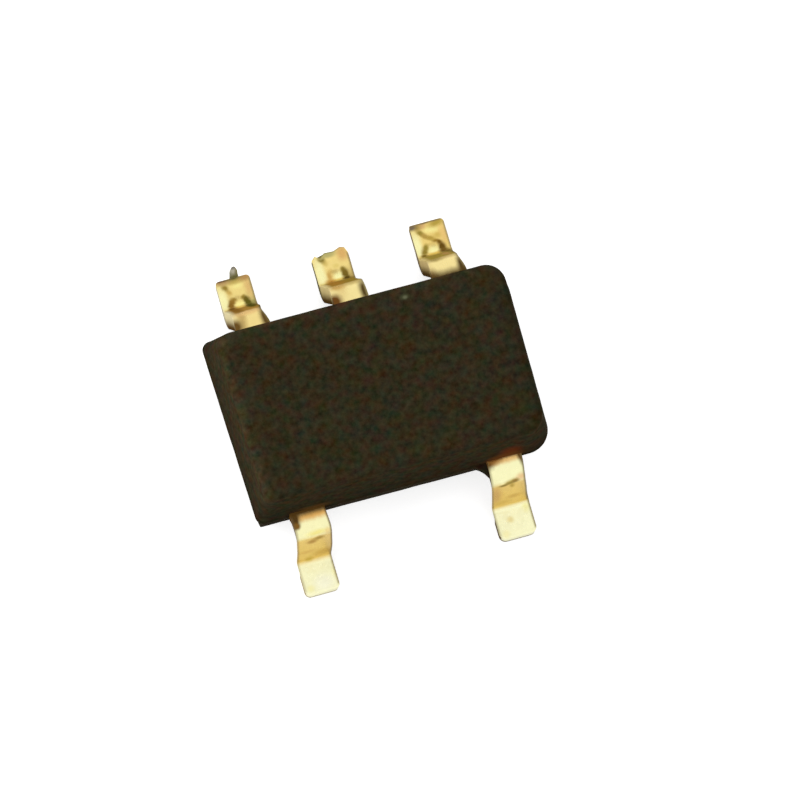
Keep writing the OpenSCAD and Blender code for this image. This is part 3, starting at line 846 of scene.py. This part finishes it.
def waved(point, across, along, turn, lead):
    """A point of the top face, raised or lowered by the face's slight waves"""
    at = Vector((across * TOP_WAVE_FINENESS, along * TOP_WAVE_FINENESS, lead.x * 5 + lead.side))
    return point + Vector((0, math.sin(turn), math.cos(turn))) * noise.noise(at) * TOP_WAVE


def strip_mesh(lead, rows, tip):
    """The strip through all its rows, as a bmesh in millimetres; each point keeps its place across and
    along, and how far in from the outline it lies, or how far below the top"""
    mesh = bmesh.new()
    layer = mesh.verts.layers.float_vector.new("strip")
    half = LEAD_THICKNESS / 2
    rings = []
    for along, left, right in rows:
        y, z, turn = strip_place(along)
        drop = rounding(along - (tip - TIP_ROUND), TIP_ROUND)
        top, bottom = half - drop, drop * TIP_ROUND_BELOW - half
        roll = ROLL if along > 0 else ROLL_INSIDE
        pull = max(0.0, 1 - (tip - along) / TORN_LENGTH)
        back = eased(UNDER_STATIONS, (0.0, 0.0, lead.back, lead.back, UNDER_FOOT), along)
        ring = []
        for across, up in section(left, right, top, bottom, roll, back):
            point = Vector((lead.x + across, y + up * math.sin(turn), z + up * math.cos(turn)))
            if lead.end == "torn":
                point.y += pull * torn_reach(across)
            if up > 0 and along > 0:
                point = waved(point, across, along, turn, lead)
                if lead.dented:
                    point = dented(point, lead)
            inside = min(across - left, right - across, tip - along)
            vert = mesh.verts.new((point.x, point.y * lead.side, point.z))
            vert[layer] = (across, along, inside if up > top - TOP_SKIN else up - top)
            ring.append(vert)
        rings.append(ring)
    bridge(mesh, rings)
    return mesh


def burr_ring(mesh, layer, out, lead, tip_y):
    """Points round the burr at one distance out from the tip"""
    share = max(out, 0.0) / BURR_LENGTH
    narrow = max(BURR_END_SHARE, math.sqrt(max(0.0, 1 - share ** BURR_BLUNTNESS)))
    middle_x = lead.x + BURR_SHIFT + BURR_LEAN * share
    ring = []
    for s in range(BURR_SIDES):
        angle = 2 * math.pi * s / BURR_SIDES
        cosine, sine = math.cos(angle), math.sin(angle)
        crease = noise.noise(Vector((cosine * CREASES_ROUND, sine * CREASES_ROUND, out * CREASES_ALONG)))
        reach = narrow * (1 + BURR_CREASE * crease)
        across = BURR_WIDTH / 2 * reach * cosine
        up = BURR_THICKNESS / 2 * reach * sine * (1 - BURR_THINNING * share)
        vert = mesh.verts.new((middle_x + across, (tip_y + out) * lead.side, LEAD_THICKNESS / 2 + up))
        vert[layer] = (across, out, 0)
        ring.append(vert)
    return ring


def add_burr(mesh, lead, tip_y):
    """A blunt spike of metal left standing on the cut end"""
    layer = mesh.verts.layers.float_vector["strip"]
    turns = [0.0] + steps(0.0, math.pi / 2, math.pi / 2 / BURR_STEPS)
    reaches = [(BURR_LENGTH + BURR_SINK) * math.sin(turn) - BURR_SINK for turn in turns]
    for face in bridge(mesh, [burr_ring(mesh, layer, out, lead, tip_y) for out in reaches]):
        face.material_index = 1


def bridge(mesh, rings):
    """Faces between rings of equal count, and one across each end"""
    faces = []
    for first, second in zip(rings, rings[1:]):
        for k in range(len(first)):
            n = (k + 1) % len(first)
            faces.append(mesh.faces.new((first[k], first[n], second[n], second[k])))
    return faces + [mesh.faces.new(rings[0]), mesh.faces.new(rings[-1])]


def finish_piece(name, mesh, materials, node):
    """Turns a bmesh in millimetres into a piece that stands for a node"""
    bmesh.ops.recalc_face_normals(mesh, faces=mesh.faces)
    mesh.transform(Matrix.Scale(MM, 4))
    data = bpy.data.meshes.new(name)
    mesh.to_mesh(data)
    mesh.free()
    data.shade_smooth()
    data.set_sharp_from_angle(angle=SHARP_ANGLE)
    for material in materials:
        data.materials.append(material)
    piece = bpy.data.objects.new(name, data)
    bpy.context.scene.collection.objects.link(piece)
    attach(piece, "root")
    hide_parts(node)


def make_lead(node, lead):
    """One lead: the head or paddle inside the body, the bends outside it and the foot"""
    low, high = (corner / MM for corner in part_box(node))
    tip_y = max(abs(low.y), abs(high.y)) - BEYOND_TIP[lead.end] - lead.trim
    tip = HEEL + tip_y - LOWER_BEND.x
    has_paddle = low.y < 0 < high.y
    inner_y = low.y if has_paddle else min(abs(low.y), abs(high.y))
    start = inner_y - WALL_Y
    end = start + (-2 * low.y if has_paddle else HEAD_LENGTH)
    rows = inner_rows(start, end, low.x - lead.x, high.x - lead.x, HEAD_RADIUS)
    rows += outer_rows(end, tip, lead)
    mesh = strip_mesh(lead, rows, tip)
    materials = [gold_finish("gold_" + node, lead, tip)]
    if lead.end == "burr":
        add_burr(mesh, lead, tip_y)
        materials.append(burr_finish())
    finish_piece("plated_" + node, mesh, materials, node)


def half_profile(edge_radius):
    """Height above the parting line and inset from the widest outline, from there up to the flat"""
    slope = math.tan(DRAFT)
    rows = [(RIDGE_HEIGHT, -PARTING_RIDGE), (RIDGE_FOOT_HEIGHT, RIDGE_FOOT_INSET)]
    level = HALF_HEIGHT - edge_radius * (1 - math.sin(DRAFT))
    rows += [(height, height * slope) for height in steps(RIDGE_FOOT_HEIGHT, level, WALL_STEP)]
    middle = level * slope + edge_radius * math.cos(DRAFT)
    for k in range(1, CROWN_STEPS + 1):
        angle = DRAFT + (math.pi / 2 - DRAFT) * k / CROWN_STEPS
        height = HALF_HEIGHT - edge_radius * (1 - math.sin(angle))
        rows.append((height, middle - edge_radius * math.cos(angle)))
    return rows + [(HALF_HEIGHT, middle + inset) for inset in FLAT_RINGS]


def out_of_square(point):
    """A point of a true body moved to where the photographed one has it"""
    share_x, share_y = (point.x / HALF_LENGTH + 1) / 2, (point.y / HALF_WIDTH + 1) / 2
    moved = point.copy()
    for (side_x, side_y), corner in CORNERS.items():
        weight = (share_x if side_x > 0 else 1 - share_x) * (share_y if side_y > 0 else 1 - share_y)
        moved += Vector((corner.off_x, corner.off_y, 0)) * weight
    return moved


def body_ring(height, inset):
    """Points round the body at one height above the parting line"""
    outline = []
    for k, (side, corner) in enumerate(CORNERS.items()):
        far = corner.top if height > 0 else corner.low
        radius = corner.middle + (far - corner.middle) * min(1.0, abs(height) / HALF_HEIGHT)
        middle = Vector((side[0] * (HALF_LENGTH - inset - radius), side[1] * (HALF_WIDTH - inset - radius)))
        for n in range(ARC_STEPS + 1):
            angle = math.pi / 2 * (k + n / ARC_STEPS)
            outline.append(middle + Vector((math.cos(angle), math.sin(angle))) * radius)
    ring = []
    for k, point in enumerate(outline):
        ring.append(point)
        if k % (ARC_STEPS + 1) == ARC_STEPS:
            after = outline[(k + 1) % len(outline)]
            ring += [point.lerp(after, n / SIDE_STEPS) for n in range(1, SIDE_STEPS)]
    return [Vector((*point, PARTING_HEIGHT + height)) for point in ring]


def add_flash(mesh):
    """The thin web of compound in the corner beside lead 5"""
    outline = [Vector((FLASH_LEFT, FLASH_BACK))]
    for k in range(FLASH_STEPS + 1):
        angle = FLASH_START + (FLASH_END - FLASH_START) * k / FLASH_STEPS
        outline.append(FLASH_CENTRE + Vector((math.cos(angle), math.sin(angle))) * FLASH_RADIUS)
    outline += [Vector((FLASH_RIGHT, FLASH_FRONT)), Vector((FLASH_RIGHT, FLASH_BACK))]
    middle = sum(outline, Vector((0, 0))) / len(outline)
    rings = []
    for height, inset in FLASH_LEVELS:
        points = [point + (middle - point).normalized() * inset for point in outline]
        rings.append([mesh.verts.new((*point, height)) for point in points])
    bridge(mesh, rings)


def make_body(material):
    """The moulded body: drafted walls, a fine ridge on the parting line, soft edges and a web of flash"""
    noise.seed_set(WALL_WAVE_SEED)
    mesh = bmesh.new()
    profile = [(-height, inset) for height, inset in reversed(half_profile(BOTTOM_EDGE))]
    profile += half_profile(TOP_EDGE)
    rings = []
    for height, inset in profile:
        ring = []
        for point in body_ring(height, inset):
            wave = noise.noise_vector(point * WALL_WAVE_FINENESS) * WALL_WAVE
            ring.append(mesh.verts.new(out_of_square(point) + Vector((wave.x, wave.y, 0))))
        rings.append(ring)
    bridge(mesh, rings)
    add_flash(mesh)
    finish_piece("moulded_body", mesh, [material], "mould_body")


def dress_nodes():
    """Finishes of the solids that stay, and of the hidden ones"""
    wire = wire_finish()
    mould = mould_finish()
    finishes = {"mould_body": mould, "die": silicon_finish(), "die_attach": glue_finish()}
    for name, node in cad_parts.items():
        node.data.materials.clear()
        node.data.materials.append(finishes.get(name, wire))
    return mould


def make_camera():
    """Camera at the photograph's viewing angle, with the package where the photograph has it"""
    middle = Vector((0, 0, (cad_low.z + cad_high.z) / 2))
    back = Vector((
        math.sin(CAMERA_AZIMUTH) * math.cos(CAMERA_ELEVATION),
        -math.cos(CAMERA_AZIMUTH) * math.cos(CAMERA_ELEVATION),
        math.sin(CAMERA_ELEVATION),
    ))
    turn = back.to_track_quat("Z", "Y").to_matrix() @ Matrix.Rotation(CAMERA_ROLL, 3, "Z")
    right, up = turn.col[0], turn.col[1]
    off_right = (PICTURE_SIDE / 2 - PACKAGE_MIDDLE_PIXEL[0]) / PIXELS_PER_MM * MM
    off_up = (PACKAGE_MIDDLE_PIXEL[1] - PICTURE_SIDE / 2) / PIXELS_PER_MM * MM
    data = bpy.data.cameras.new("camera")
    data.lens = data.sensor_width * (PIXELS_PER_MM / MM) * CAMERA_DISTANCE / PICTURE_SIDE
    data.clip_start, data.clip_end = CAMERA_DISTANCE / 10, CAMERA_DISTANCE * 10
    camera = bpy.data.objects.new("camera", data)
    place = middle + back * CAMERA_DISTANCE + right * off_right + up * off_up
    camera.matrix_world = Matrix.Translation(place) @ turn.to_4x4()
    bpy.context.scene.collection.objects.link(camera)
    bpy.context.scene.camera = camera


def make_world():
    """Soft light from all sides, seen as white by the camera, in reflections and through clear surfaces"""
    world = bpy.data.worlds.new("studio")
    bpy.context.scene.world = world
    world.use_nodes = True
    graph = Graph(world.node_tree)
    seen = graph.math("MAXIMUM", graph.ray("Is Camera Ray"), graph.ray("Is Glossy Ray"))
    seen = graph.math("MAXIMUM", seen, graph.ray("Is Transmission Ray"))
    inputs = {"Value": seen, "To Min": WORLD_LIGHT, "To Max": WORLD_SEEN}
    background = graph.tree.nodes["Background"]
    graph.put(background.inputs["Color"], (1, 1, 1, 1))
    graph.put(background.inputs["Strength"], graph.add("ShaderNodeMapRange", inputs))


def make_floor():
    """Plain white floor that keeps the package's shadow"""
    bpy.ops.mesh.primitive_plane_add(size=FLOOR_SIDE, location=(0, 0, 0))
    floor = bpy.context.object
    floor.name = "floor"
    finish = Finish("floor")
    mirrored = finish.math("MULTIPLY", finish.ray("Is Glossy Ray"), FLOOR_GLOW_MIRRORED)
    glow = finish.math("MULTIPLY", finish.ray("Is Camera Ray"), FLOOR_GLOW)
    glow = finish.math("ADD", glow, mirrored)
    finish.set(Base_Color=(0.8, 0.8, 0.8, 1), Roughness=1.0, Specular_IOR_Level=0.0)
    finish.set(Emission_Color=(1, 1, 1, 1), Emission_Strength=glow)
    floor.data.materials.append(finish.material)


def make_lamps():
    """Square soft lamps aimed at the package; metal mirrors the white behind them instead"""
    for name, facts in LAMPS.items():
        data = bpy.data.lights.new(name, "AREA")
        data.shape = "SQUARE"
        data.size = facts.size
        data.energy = facts.radiance * math.pi * facts.size ** 2
        lamp = bpy.data.objects.new(name, data)
        towards = Vector(facts.direction).normalized()
        turn = towards.to_track_quat("Z", "Y").to_matrix().to_4x4()
        lamp.matrix_world = Matrix.Translation(towards * LAMP_DISTANCE) @ turn
        lamp.visible_glossy = False
        bpy.context.scene.collection.objects.link(lamp)


bpy.context.scene.view_settings.view_transform = "Standard"
make_camera()
make_world()
make_floor()
make_lamps()
make_body(dress_nodes())
for node_name, lead_facts in LEADS.items():
    make_lead(node_name, lead_facts)
